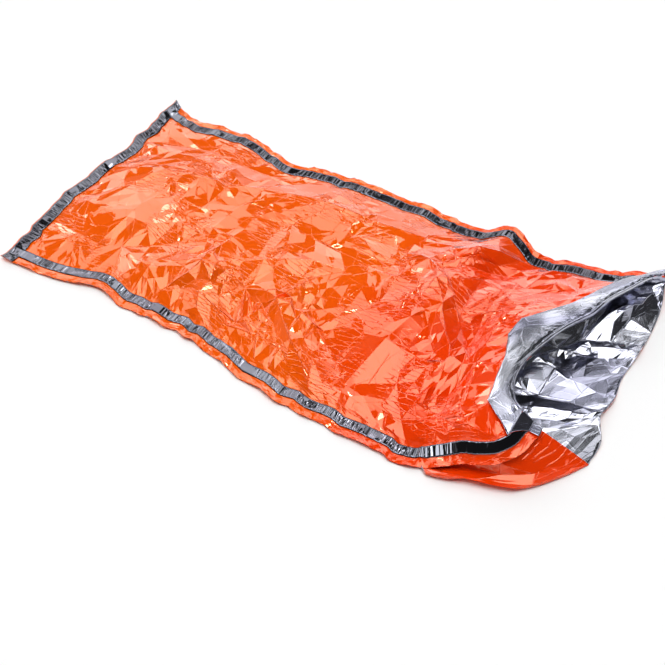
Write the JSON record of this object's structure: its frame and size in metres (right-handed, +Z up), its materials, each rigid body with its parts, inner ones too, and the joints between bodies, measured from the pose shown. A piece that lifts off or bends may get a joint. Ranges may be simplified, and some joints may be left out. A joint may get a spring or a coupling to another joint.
{
  "type": "bivvy bag",
  "caption": "Emergency bivvy bag of crinkled orange film lying flat, with mirror tape along its seams and its silver-lined mouth turned back.",
  "frame": {"origin": "middle of the bag's footprint, on the ground that it lies on", "axes": "+X from the foot towards the open mouth, +Y from the near long side to the far one, +Z up"},
  "size_m": [2.024, 1.0806, 0.1316],
  "materials": {
    "film": "glossy orange film, silver on its inner face",
    "seam_tape": "mirror"
  },
  "bodies": {
    "root": {"bottom_panel": "film", "top_panel": "film", "seam_tape_near": "seam_tape", "seam_tape_far": "seam_tape", "seam_tape_foot": "seam_tape"}
  },
  "joints": []
}
